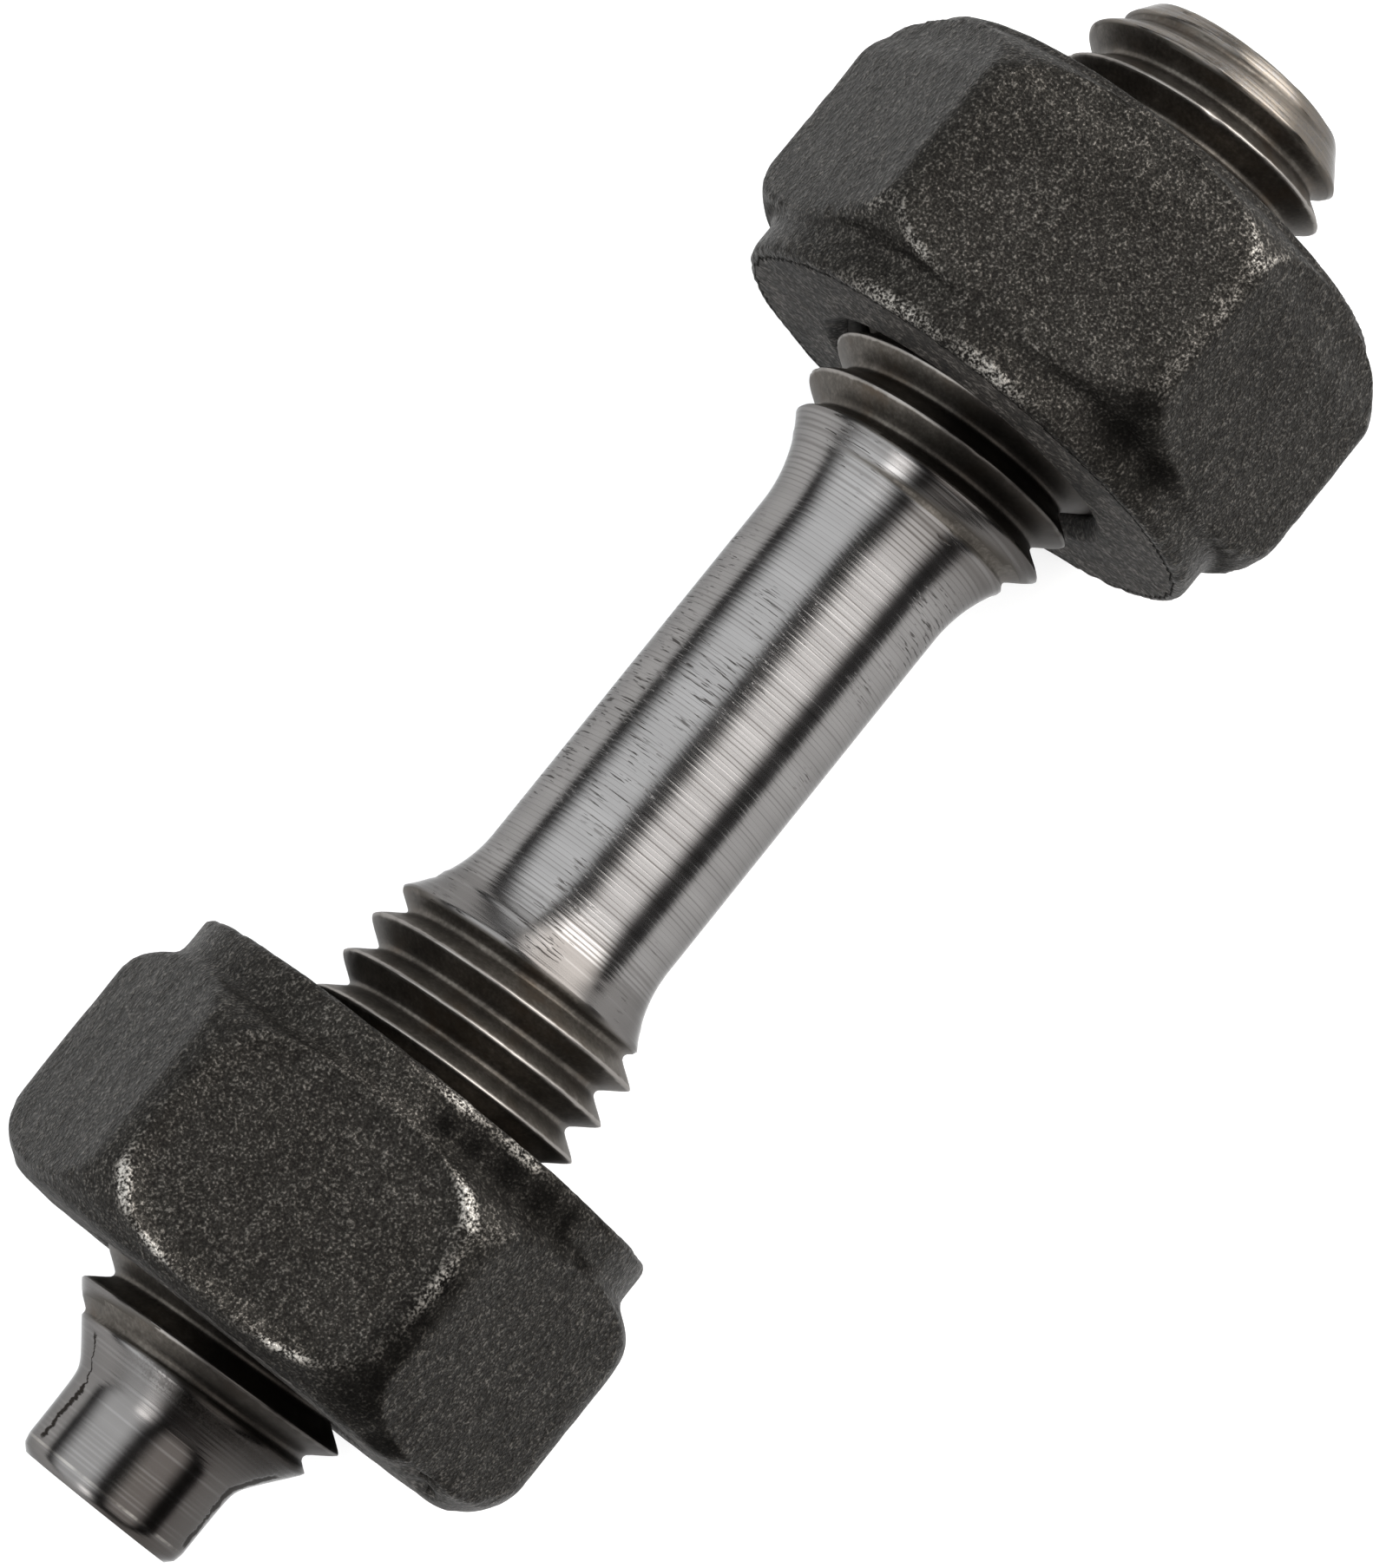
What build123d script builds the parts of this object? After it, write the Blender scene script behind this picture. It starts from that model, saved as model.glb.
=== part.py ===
"""Double ended stud with a waisted shank, and its two forged hexagon collar nuts.

The stud lies along X. +X points to its plain chamfered end, -X to the end with the
pilot, +Z is up, and the origin is on the axis at half the stud's length. Every piece
is modelled standing on Z and is then laid down. Lengths are in millimetres.
"""

from build123d import *
import math
import os

# ---- stud: overall ----
STUD_LENGTH = 70.0
SHANK_DIAMETER = 8.45  # waist, smaller than the thread's root

# ---- stud: the metric thread on both ends ----
THREAD_DIAMETER = 11.8
THREAD_PITCH = 1.75
THREAD_DEPTH = 1.02
THREAD_ROOT_WIDTH = 0.35  # flat between the flanks; the crest is drawn to a line

# ---- stud: plain end ----
PLAIN_THREAD_LENGTH = 20.4  # end face to where the crest has its full diameter
PLAIN_NECK_RADIUS = 6.2  # hollow between shank and thread
PLAIN_END_DIAMETER = 9.05
PLAIN_CHAMFER_ANGLE = 34.5  # from the axis
PLAIN_CREST_SETBACK = 0.32  # end face to a crest of the thread, on the +Y side

# ---- stud: pilot end ----
PILOT_THREAD_LENGTH = 25.1  # end face to where the crest has its full diameter
PILOT_NECK_RADIUS = 5.5
PILOT_DIAMETER = 7.3
PILOT_LENGTH = 3.7
PILOT_LEAD_LENGTH = 0.64  # slight taper at its end
PILOT_LEAD_DIAMETER = 7.0
PILOT_EDGE = 0.2
PILOT_CONE_ANGLE = 39.0  # from the axis, between the thread and the pilot
PILOT_CREST_SETBACK = 0.98  # end face to a crest of the thread, on the +Y side

# ---- nuts ----
NUT_HEIGHT = 12.0
NUT_ACROSS_FLATS = 21.6
PLAIN_NUT_EDGE = 1.1  # radius along the six edges, crisp from a fresh die
PILOT_NUT_EDGE = 2.4  # and rounder from a worn one
NUT_OUTER_ROUND = 2.7  # forged rounding of the corners at the outer face
NUT_INNER_ROUND = 2.2  # and at the collar
COLLAR_DIAMETER = 21.2
COLLAR_HEIGHT = 1.75
COLLAR_EDGE = 0.25
COLLAR_FLARE = 0.15  # where the collar runs out into the hexagon
BORE_CLEARANCE = 0.08  # radial, over the thread's crest
COUNTERSINK = 0.6  # both mouths of the bore, at 45 degrees

# ---- where the nuts stand: how far the stud comes out of each ----
PLAIN_STANDOUT = 5.6
PILOT_STANDOUT = 7.85

# ---- overlaps between shapes that are joined or cut ----
PROUD = 0.5  # how far an outline runs past what it cuts or is cut from
SUNK = 0.2  # how deep the thread's ridge is rooted in the bar

THREAD_RADIUS = THREAD_DIAMETER / 2
ROOT_RADIUS = THREAD_RADIUS - THREAD_DEPTH
BLANK_RADIUS = THREAD_RADIUS + PROUD
SHANK_RADIUS = SHANK_DIAMETER / 2
HALF_LENGTH = STUD_LENGTH / 2
PLAIN_NUT_PLACE = HALF_LENGTH - PLAIN_STANDOUT - NUT_HEIGHT  # of its collar face
PILOT_NUT_PLACE = PILOT_STANDOUT + NUT_HEIGHT - HALF_LENGTH
HEXAGON_POINT = NUT_ACROSS_FLATS / 2 / math.cos(math.radians(30))


def turned(outline):
    """The solid made by turning a closed outline of radius and height about Z."""
    with BuildSketch(Plane.XZ) as sketch:
        with BuildLine():
            outline()
        make_face()
    return revolve(sketch.sketch, axis=Axis.Z)


# ---------------------------------------------------------------- thread

def ridge(length):
    """The thread alone: a triangular ridge wound right-handed up from height zero."""
    half_width = (THREAD_PITCH - THREAD_ROOT_WIDTH) / 2
    half_base = half_width * (THREAD_DEPTH + SUNK) / THREAD_DEPTH
    base_radius = ROOT_RADIUS - SUNK
    corners = (base_radius, -half_base), (THREAD_RADIUS, 0), (base_radius, half_base)
    section = Plane.XZ * make_face(Polyline(*corners, close=True))
    return sweep(section, Helix(THREAD_PITCH, length, ROOT_RADIUS), is_frenet=True)


def threaded_end(outline, low, high, crest):
    """A bar as deep as the thread's root with the ridge on it, cut to the turned outline.

    The ridge runs from low to high, both clear of the metal. The finished end is turned
    so that a crest lies at the given height on the side that faces +Y once laid down.
    """
    bottom = min(low, 0) - PROUD
    top = max(high, 0) + PROUD
    bar = Pos(0, 0, (bottom + top) / 2) * Cylinder(ROOT_RADIUS, top - bottom)
    end = (bar + Pos(0, 0, low) * ridge(high - low)) & turned(outline)
    return Rot(0, 0, 360 * (low - crest) / THREAD_PITCH + 90) * end


# ---------------------------------------------------------------- stud

def neck(neck_radius, full_height, sense):
    """Hollow from the shank up past the thread's crest, as its start, middle and end.

    It leaves the shank without a step and reaches the crest at full_height. sense is 1
    where the thread lies above the shank and -1 where it lies below.
    """

    def run(radius):
        rise = radius - SHANK_RADIUS
        return math.sqrt(2 * neck_radius * rise - rise**2)

    foot = full_height - sense * run(THREAD_RADIUS)
    half_turn = math.asin(run(BLANK_RADIUS) / neck_radius) / 2
    middle_radius = SHANK_RADIUS + neck_radius * (1 - math.cos(half_turn))
    return (
        (SHANK_RADIUS, foot),
        (middle_radius, foot + sense * neck_radius * math.sin(half_turn)),
        (BLANK_RADIUS, foot + sense * run(BLANK_RADIUS)),
    )


def plain_end_outline():
    """Half the blank, from mid-shank to the chamfered end, standing proud of the thread."""
    foot, middle, top = neck(PLAIN_NECK_RADIUS, HALF_LENGTH - PLAIN_THREAD_LENGTH, 1)
    end_radius = PLAIN_END_DIAMETER / 2
    drop = (BLANK_RADIUS - end_radius) / math.tan(math.radians(PLAIN_CHAMFER_ANGLE))
    ThreePointArc(foot, middle, top)
    Polyline(
        top,
        (BLANK_RADIUS, HALF_LENGTH - drop),
        (end_radius, HALF_LENGTH),
        (0, HALF_LENGTH),
        (0, 0),
        (SHANK_RADIUS, 0),
        foot,
    )


def pilot_end_outline():
    """Half the blank, from mid-shank to the pilot's end, standing proud of the thread."""
    foot, middle, top = neck(PILOT_NECK_RADIUS, PILOT_THREAD_LENGTH - HALF_LENGTH, -1)
    pilot_radius = PILOT_DIAMETER / 2
    lead_radius = PILOT_LEAD_DIAMETER / 2
    pilot_top = PILOT_LENGTH - HALF_LENGTH
    rise = (BLANK_RADIUS - pilot_radius) / math.tan(math.radians(PILOT_CONE_ANGLE))
    ThreePointArc(foot, middle, top)
    Polyline(
        top,
        (BLANK_RADIUS, pilot_top + rise),
        (pilot_radius, pilot_top),
        (pilot_radius, PILOT_LEAD_LENGTH - HALF_LENGTH),
        (lead_radius, PILOT_EDGE - HALF_LENGTH),
        (lead_radius - PILOT_EDGE, -HALF_LENGTH),
        (0, -HALF_LENGTH),
        (0, 0),
        (SHANK_RADIUS, 0),
        foot,
    )


def stud():
    """One turned bar: a thread at each end, run out into the waisted shank."""
    plain_run_out = HALF_LENGTH - PLAIN_THREAD_LENGTH - PLAIN_NECK_RADIUS
    pilot_run_out = PILOT_THREAD_LENGTH - HALF_LENGTH + PILOT_NECK_RADIUS
    past_end = HALF_LENGTH + THREAD_PITCH
    plain_crest = HALF_LENGTH - PLAIN_CREST_SETBACK
    pilot_crest = PILOT_CREST_SETBACK - HALF_LENGTH
    plain_end = threaded_end(plain_end_outline, plain_run_out, past_end, plain_crest)
    pilot_end = threaded_end(pilot_end_outline, -past_end, pilot_run_out, pilot_crest)
    return plain_end + pilot_end


# ---------------------------------------------------------------- nuts

def hexagon_outline(corner_radius):
    """The forging's turned envelope above the collar, with both ends of it rounded."""
    FilletPolyline(
        (0, COLLAR_HEIGHT),
        (corner_radius, COLLAR_HEIGHT),
        (corner_radius, NUT_HEIGHT),
        (0, NUT_HEIGHT),
        radius=(NUT_INNER_ROUND, NUT_OUTER_ROUND),
    )
    Line((0, NUT_HEIGHT), (0, COLLAR_HEIGHT))


def hexagon(edge_radius):
    """Hexagonal prism over the nut's whole height, with its six edges rounded."""
    with BuildSketch() as sketch:
        RegularPolygon(NUT_ACROSS_FLATS / 2, 6, major_radius=False, rotation=30)
        fillet(sketch.vertices(), edge_radius)
    return extrude(sketch.sketch, NUT_HEIGHT)


def collar_outline(corner_radius):
    """The bearing collar, from its face at zero to where it flares out into the hexagon."""
    radius = COLLAR_DIAMETER / 2
    flare_radius = radius + COLLAR_FLARE
    past_round = max(0, flare_radius - (corner_radius - NUT_INNER_ROUND))
    flare_top = COLLAR_HEIGHT + NUT_INNER_ROUND - math.sqrt(NUT_INNER_ROUND**2 - past_round**2)
    Polyline(
        (0, 0),
        (radius - COLLAR_EDGE, 0),
        (radius, COLLAR_EDGE),
        (radius, flare_top - COLLAR_FLARE),
        (flare_radius, flare_top),
        (radius, flare_top + PROUD),
        (0, flare_top + PROUD),
        (0, 0),
    )


def bore_outline():
    """The bore with its two countersunk mouths."""
    radius = THREAD_RADIUS + BORE_CLEARANCE
    mouth = radius + COUNTERSINK + PROUD
    Polyline(
        (0, -PROUD),
        (mouth, -PROUD),
        (radius, COUNTERSINK),
        (radius, NUT_HEIGHT - COUNTERSINK),
        (mouth, NUT_HEIGHT + PROUD),
        (0, NUT_HEIGHT + PROUD),
        (0, -PROUD),
    )


def nut(edge_radius):
    """A collar nut standing on its collar face, with two of its flats square to X."""
    corner_radius = HEXAGON_POINT - edge_radius * (1 / math.cos(math.radians(30)) - 1)
    forging = hexagon(edge_radius) & turned(lambda: hexagon_outline(corner_radius))
    body = forging + turned(lambda: collar_outline(corner_radius))
    return body - turned(bore_outline)


# ---------------------------------------------------------------- assembly

LAID_DOWN = Rot(0, 90, 0)  # Z to X
LAID_BACK = Rot(0, -90, 0)  # Z to -X

pieces = {
    "stud": LAID_DOWN * stud(),
    "plain_end_nut": Pos(PLAIN_NUT_PLACE, 0, 0) * LAID_DOWN * nut(PLAIN_NUT_EDGE),
    "pilot_end_nut": Pos(PILOT_NUT_PLACE, 0, 0) * LAID_BACK * nut(PILOT_NUT_EDGE),
}

os.makedirs("parts", exist_ok=True)
for name, piece in pieces.items():
    export_step(piece, f"parts/{name}.step")
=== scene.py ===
import math

import bpy
import numpy as np
from mathutils import Matrix, Vector, noise


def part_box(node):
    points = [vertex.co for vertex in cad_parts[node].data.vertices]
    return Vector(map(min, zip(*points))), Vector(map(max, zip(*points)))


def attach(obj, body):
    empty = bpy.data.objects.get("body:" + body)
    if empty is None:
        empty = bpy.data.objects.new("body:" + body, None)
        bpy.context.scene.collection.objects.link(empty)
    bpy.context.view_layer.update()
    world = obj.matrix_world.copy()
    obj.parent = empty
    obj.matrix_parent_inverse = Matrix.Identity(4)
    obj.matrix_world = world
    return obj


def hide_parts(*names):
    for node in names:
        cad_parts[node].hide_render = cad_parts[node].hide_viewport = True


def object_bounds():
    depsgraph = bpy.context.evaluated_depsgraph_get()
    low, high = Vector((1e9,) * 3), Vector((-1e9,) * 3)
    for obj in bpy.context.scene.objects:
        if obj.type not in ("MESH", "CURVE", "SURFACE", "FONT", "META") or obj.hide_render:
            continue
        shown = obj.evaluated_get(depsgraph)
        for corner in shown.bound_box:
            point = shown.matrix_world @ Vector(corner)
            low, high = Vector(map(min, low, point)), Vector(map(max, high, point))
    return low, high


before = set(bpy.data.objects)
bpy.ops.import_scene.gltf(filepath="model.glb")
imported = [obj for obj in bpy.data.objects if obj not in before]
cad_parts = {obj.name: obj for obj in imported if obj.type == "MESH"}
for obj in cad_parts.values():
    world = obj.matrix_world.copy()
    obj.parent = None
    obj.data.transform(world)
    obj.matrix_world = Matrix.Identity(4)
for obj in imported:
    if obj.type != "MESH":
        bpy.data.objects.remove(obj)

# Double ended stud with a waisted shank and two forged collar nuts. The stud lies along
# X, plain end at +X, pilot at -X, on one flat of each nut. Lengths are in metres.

CAD_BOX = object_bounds()
MM = 0.001
ROUND = 2 * math.pi

# ---- the stud's turned blank, as in the part's source ----
HALF_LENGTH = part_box("stud")[1][0]
SHANK_RADIUS = 4.225 * MM
PLAIN_FULL_THREAD = 14.6 * MM  # X where the neck reaches the thread's crest
PLAIN_NECK_RADIUS = 6.2 * MM
PLAIN_END_RADIUS = 4.525 * MM
PLAIN_CHAMFER_ANGLE = 34.5
PILOT_FULL_THREAD = -9.9 * MM
PILOT_NECK_RADIUS = 5.5 * MM
PILOT_RADIUS = 3.65 * MM
PILOT_ROOT = -31.3 * MM
PILOT_CONE_ANGLE = 39.0
PILOT_LEAD = 0.64 * MM
PILOT_LEAD_RADIUS = 3.5 * MM
PILOT_END_RADIUS = PILOT_LEAD_RADIUS - 0.2 * MM
PILOT_ROOT_SOFTNESS = 0.28 * MM
PILOT_ROOT_EXCESS = 0.01 * MM  # what that softness adds to the pilot's radius
PILOT_END_ZONE = 1.2 * MM  # from the end, where it adds nothing
PLAIN_LIP = 13.3 * MM  # X of the fine burrs that the rolling left across the necks
PILOT_LIP = -8.3 * MM
LIP_HEIGHT = 0.035 * MM
LIP_REACH = 0.07 * MM
EDGE_SOFTNESS = 0.06 * MM

# ---- the thread ----
THREAD_RADIUS = 5.9 * MM
THREAD_PITCH = 1.75 * MM
THREAD_DEPTH = 1.02 * MM
FLANK_SLOPE = THREAD_DEPTH / (0.7 * MM)  # fall in radius along the axis
CREST_SOFTNESS = 0.05 * MM
ROOT_SOFTNESS = 0.10 * MM
PLAIN_CREST = HALF_LENGTH - 0.32 * MM - 11 * THREAD_PITCH  # X of a crest on the +Y side
PILOT_CREST = -HALF_LENGTH + 0.98 * MM + 13 * THREAD_PITCH
SHANK_TURNS = 10  # turns of the wound surface between those two crests
PILOT_LAST_TURN = 2.75  # the pilot's thread runs one pitch a turn up to here
PLAIN_FIRST_TURN = 7.75  # and the plain end's from here
ROW_CROWDING = 0.55  # how far the rows of a wound surface crowd to crest and root

# ---- the stud's mesh ----
STUD_TURNS = (-16, 23)
STUD_ROWS = 16  # to a turn
STUD_AROUND = 144
STUD_MERGE = 2e-6  # vertices closer together than this become one
THREADED = (-0.05 * MM, 0.10 * MM)  # the blank's height over the thread, bare to threaded
ON_CREST = (THREAD_RADIUS - 0.24 * MM, THREAD_RADIUS - 0.04 * MM)
NICK_DEPTH = 0.10 * MM  # of the small nicks in the crests
CREST_WAVE = 0.03 * MM  # and of the slow wear along them

# ---- the nuts' cut thread ----
BORE_RADIUS = 5.98 * MM
COUNTERSINK = 0.6 * MM
NUT_THREAD_RADIUS = 5.2 * MM  # crest of the thread inside the nut
NUT_THREAD_PLAY = 0.12 * MM  # outside the stud's thread
NUT_THREAD_SOFTNESS = 0.05 * MM
NUT_THREAD_INSET = 0.35 * MM  # from each face of the nut
NUT_THREAD_WALL = 0.25 * MM
MOUTH_PLAY = 0.03 * MM  # outside the countersink

# ---- the nuts' forged skin ----
NUT_VOXEL = 0.2 * MM
CUT_RADIUS = 6.8 * MM  # the bore and its mouth are cut inside this
SKIN_RADIUS = 7.6 * MM  # and the skin is wholly that of a forging outside this
# the nuts' flat ends are painted matt black as shade out to this radius
FLAT_END_RADIUS = 10.35 * MM  # the matt finish of the flat ends stops here
CORNER_RADII = (10.3 * MM, 10.75 * MM)  # the corners are cut back between these
CORNER_DROP = (2.8 * MM, 1.2 * MM)  # below the land: where that starts and where it is full
EDGE_BULGE = (0.012 * MM, 0.05 * MM)  # how far an edge stands out of a smoother nut
SWELL = 0.035 * MM  # height of the skin's large lumps
RIPPLE = 0.025 * MM  # and of its small ones
SKIN_LOSS = 0.04 * MM  # the skin lies this far inside the solid
NIBBLE = 0.10 * MM  # taken out of the edges
RIM_REACH = 0.32 * MM  # half width of the raised rim round the dish
RIM_BEAD = 0.07 * MM  # and its height
CHIP_DEPTH = 0.3  # in millimetres: dents deeper than this are painted dark

# ---- places on the nuts: X, Y, Z and reach in millimetres ----
PLAIN_NUT_MARKS = {
    "rubbed": [
        (27.2, -5.8, 10.7, 1.8), (24.8, -6.0, 10.7, 1.6), (22.5, -6.0, 10.7, 1.5),
        (19.8, 5.9, 10.1, 1.3), (19.5, 4.4, 10.3, 1.2), (17.5, 3.5, 9.3, 2.4),
        (18.0, -0.7, 10.5, 1.8),
    ],
    # spots of dark smooth scale, painted there as shade
    "scale_and_shade": [(20.2, -6.0, 10.1, 1.0), (19.2, -6.0, 8.9, 1.4), (19.0, -7.6, 7.6, 1.2)],
    "dents": [(19.2, -5.6, 9.2, 0.9, 0.12), (18.4, -1.5, 10.6, 0.7, 0.08)],
    "dish": (23.5, 5, 6, 2, 0),
    "land": (29.4, 0.24),
}
PILOT_NUT_MARKS = {
    "rubbed": [
        (-18.3, -5.8, 10.5, 1.2), (-17.9, -4.9, 10.6, 0.8), (-25.1, 5.3, 10.6, 1.2),
        (-26.2, 3.0, 10.7, 0.8), (-15.3, -2.6, 10.3, 1.3), (-15.3, -5.2, 9.1, 1.2),
        (-21.0, -6.0, 10.5, 1.3), (-26.0, -3.0, 10.7, 1.0),
    ],
    # spots of dark smooth scale, painted there as shade
    "scale_and_shade": [
        (-26.5, -6.6, 9.9, 1.9), (-25.2, -6.5, 10.2, 1.5), (-23.8, -6.3, 10.4, 1.1),
        (-22.4, -6.2, 10.4, 0.9), (-21.0, -6.2, 10.4, 0.7), (-26.9, -8.0, 7.6, 1.3),
        (-16.5, -2.5, 10.2, 0.7), (-16.4, -3.8, 9.8, 0.9), (-16.2, -5.3, 9.2, 1.2),
        (-16.3, -6.7, 8.2, 1.2), (-16.4, -7.9, 7.0, 1.1), (-16.4, -8.9, 5.7, 1.0),
    ],
    "dents": [
        (-27.0, -9.2, 4.1, 0.9, 0.7), (-26.9, -8.6, 5.4, 0.6, 0.45),
        (-27.0, -9.4, 2.6, 0.6, 0.4),
    ],
    "dish": (-21.9, 4.75, 5.9, 3.3, 0.34),
    "land": (-27.15, 0.08),
}

# ---- finishes ----
FEED = 0.2 * MM  # between the rings that turning left on the shank and pilot
RINGS_FADE = 2.5 * MM  # over which the rings come up beyond each lip
PILOT_CRACKS = (  # angle about X, X from and to, width
    (38, -34.3 * MM, -29.9 * MM, 0.05),
    (169, -34.2 * MM, -29.8 * MM, 0.10),
)
# the nuts' mouths, where the nuts' shadow is painted on the stud
SHADED_MOUTHS = ((16.6 * MM, 3.4 * MM), (-28.6 * MM, 3.0 * MM))  # X of the mouths, and reach
# colour of that painted shadow
NUT_SHADOW_COLOUR = "#1d1a18"
# grey of the painted shade in the ring bottoms and on the plain end's neck
SHADE_GREY = "#3a3633"
# darkest colour: dark scale, and painted shade on the nuts
DARK_SCALE_AND_SHADE = "#100f0e"
FINE_SCALE = 9000.0  # these three are the scales of the grain's noise, to a metre
COARSE_SCALE = 2800.0
PATCH_SCALE = 420
FINE_SHARE = 0.68
MIX_SOCKETS = {"RGBA": (6, 7, 2), "FLOAT": (2, 3, 0)}  # first, second, and the output


# ---------------------------------------------------------------- helpers

def deselect():
    if bpy.context.object and bpy.context.object.mode != "OBJECT":
        bpy.ops.object.mode_set(mode="OBJECT")
    bpy.ops.object.select_all(action="DESELECT")


def pick(piece):
    deselect()
    piece.select_set(True)
    bpy.context.view_layer.objects.active = piece


def apply_modifier(piece, kind, **settings):
    modifier = piece.modifiers.new(kind, kind)
    for name, value in settings.items():
        setattr(modifier, name, value)
    bpy.ops.object.modifier_apply(modifier=modifier.name)


def merge_doubles(piece, distance=1e-7):
    pick(piece)
    bpy.ops.object.mode_set(mode="EDIT")
    bpy.ops.mesh.select_all(action="SELECT")
    bpy.ops.mesh.remove_doubles(threshold=distance)
    bpy.ops.mesh.normals_make_consistent(inside=False)
    bpy.ops.object.mode_set(mode="OBJECT")


def coordinates(mesh):
    flat = np.empty(len(mesh.vertices) * 3)
    mesh.vertices.foreach_get("co", flat)
    return flat.reshape(-1, 3)


def set_coordinates(mesh, places):
    mesh.vertices.foreach_set("co", places.reshape(-1).astype(np.float32))
    mesh.update()


def normals(mesh):
    flat = np.empty(len(mesh.vertices) * 3)
    mesh.vertex_normals.foreach_get("vector", flat)
    return flat.reshape(-1, 3)


def paint(mesh, name, values):
    """Keeps one number for each vertex under a name that a material can read."""
    layer = mesh.attributes.new(name, "FLOAT", "POINT")
    layer.data.foreach_set("value", np.asarray(values, dtype=np.float32))


def choose_faces(mesh, values, measure, limit):
    """Gives the second material to faces whose vertices' values measure above the limit."""
    chosen = [measure(values[list(polygon.vertices)]) > limit for polygon in mesh.polygons]
    mesh.polygons.foreach_set("material_index", np.array(chosen).astype(np.int32))


def lumps(places, size, seed):
    """Smooth noise, about -1 to 1, with lumps of that size, at each place."""
    offset = Vector((seed * 7.3, seed * 3.1, seed * 5.7))
    return np.array([noise.noise(Vector(p) / size + offset) for p in places])


def soft_min(a, b, softness):
    return 0.5 * (a + b - np.sqrt((a - b) ** 2 + softness**2))


def soft_max(a, b, softness):
    return 0.5 * (a + b + np.sqrt((a - b) ** 2 + softness**2))


def smooth_step(low, high, value):
    t = np.clip((value - low) / (high - low), 0, 1)
    return t * t * (3 - 2 * t)


# ---------------------------------------------------------------- wound surfaces

def wound_grid(name, first_turn, last_turn, rows_per_turn, around):
    """A grid whose rows climb one turn as they go round once.

    Returns the object with each vertex's angle about X, its turn, and its phase, which
    is 0 at a thread's crest and 0.5 at its root. Rows lie closest at both of those.
    """
    rows = (last_turn - first_turn) * rows_per_turn
    deselect()
    bpy.ops.mesh.primitive_grid_add(x_subdivisions=around, y_subdivisions=rows, size=2)
    piece = bpy.context.object
    piece.name = name
    places = coordinates(piece.data)
    column = np.rint((places[:, 0] + 1) / 2 * around)
    row = np.rint((places[:, 1] + 1) / 2 * rows)
    share = (row % rows_per_turn) / rows_per_turn
    phase = share - ROW_CROWDING * np.sin(2 * ROUND * share) / (2 * ROUND)
    angle = column / around * ROUND
    turn = first_turn + row // rows_per_turn + phase + column / around
    return piece, angle, turn, phase


def about_x(x, angle, radius):
    """Places from their X, their angle from +Y towards +Z, and their radius."""
    return np.stack([x, radius * np.cos(angle), radius * np.sin(angle)], axis=1)


def ridge_radius(phase, crest_softness=CREST_SOFTNESS, root_softness=ROOT_SOFTNESS):
    """Radius of the thread at a phase: straight flanks, eased over the crest and root."""
    from_crest = np.abs((phase + 0.5) % 1 - 0.5) * THREAD_PITCH
    eased = np.sqrt(from_crest**2 + crest_softness**2) - crest_softness
    flank = THREAD_RADIUS - FLANK_SLOPE * eased
    return soft_max(flank, THREAD_RADIUS - THREAD_DEPTH, root_softness)


def neck_radius(x, full_thread, radius, sense):
    """Radius of the hollow between the shank and the thread."""
    rise = THREAD_RADIUS - SHANK_RADIUS
    foot = full_thread - sense * math.sqrt(2 * radius * rise - rise**2)
    past = np.clip(sense * (x - foot), 0, radius * 0.95)
    return SHANK_RADIUS + radius - np.sqrt(radius**2 - past**2)


def blank_radius(x):
    """Radius of the stud's turned blank before it is threaded."""
    neck = np.where(
        x > 0,
        neck_radius(x, PLAIN_FULL_THREAD, PLAIN_NECK_RADIUS, 1),
        neck_radius(x, PILOT_FULL_THREAD, PILOT_NECK_RADIUS, -1),
    )
    chamfer = PLAIN_END_RADIUS + (HALF_LENGTH - x) * math.tan(math.radians(PLAIN_CHAMFER_ANGLE))
    cone = PILOT_RADIUS + (x - PILOT_ROOT) * math.tan(math.radians(PILOT_CONE_ANGLE))
    from_end = x + HALF_LENGTH
    up_lead = np.clip(from_end / PILOT_LEAD, 0, 1)
    lead = PILOT_LEAD_RADIUS + (PILOT_RADIUS - PILOT_LEAD_RADIUS) * up_lead
    pilot = np.minimum(lead, PILOT_END_RADIUS + from_end)
    journal = soft_max(np.minimum(cone, THREAD_RADIUS * 2), pilot, PILOT_ROOT_SOFTNESS)
    journal = np.where(from_end < PILOT_END_ZONE, pilot, journal - PILOT_ROOT_EXCESS)
    ends = np.where(x > 0, chamfer, journal)
    lips = sum(np.exp(-(((x - place) / LIP_REACH) ** 2)) for place in (PLAIN_LIP, PILOT_LIP))
    return soft_min(neck + LIP_HEIGHT * lips, ends, EDGE_SOFTNESS)


def along_stud(turn):
    """X of a turn of the wound surface: one pitch a turn in both threads, more between."""
    pilot_x = PILOT_CREST + THREAD_PITCH * turn
    plain_x = PLAIN_CREST + THREAD_PITCH * (turn - SHANK_TURNS)
    low = PILOT_CREST + THREAD_PITCH * PILOT_LAST_TURN
    high = PLAIN_CREST + THREAD_PITCH * (PLAIN_FIRST_TURN - SHANK_TURNS)
    shank_turns = PLAIN_FIRST_TURN - PILOT_LAST_TURN
    shank_x = low + (high - low) * (turn - PILOT_LAST_TURN) / shank_turns
    x = np.where(turn > PLAIN_FIRST_TURN, plain_x, shank_x)
    return np.where(turn < PILOT_LAST_TURN, pilot_x, x)


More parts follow.
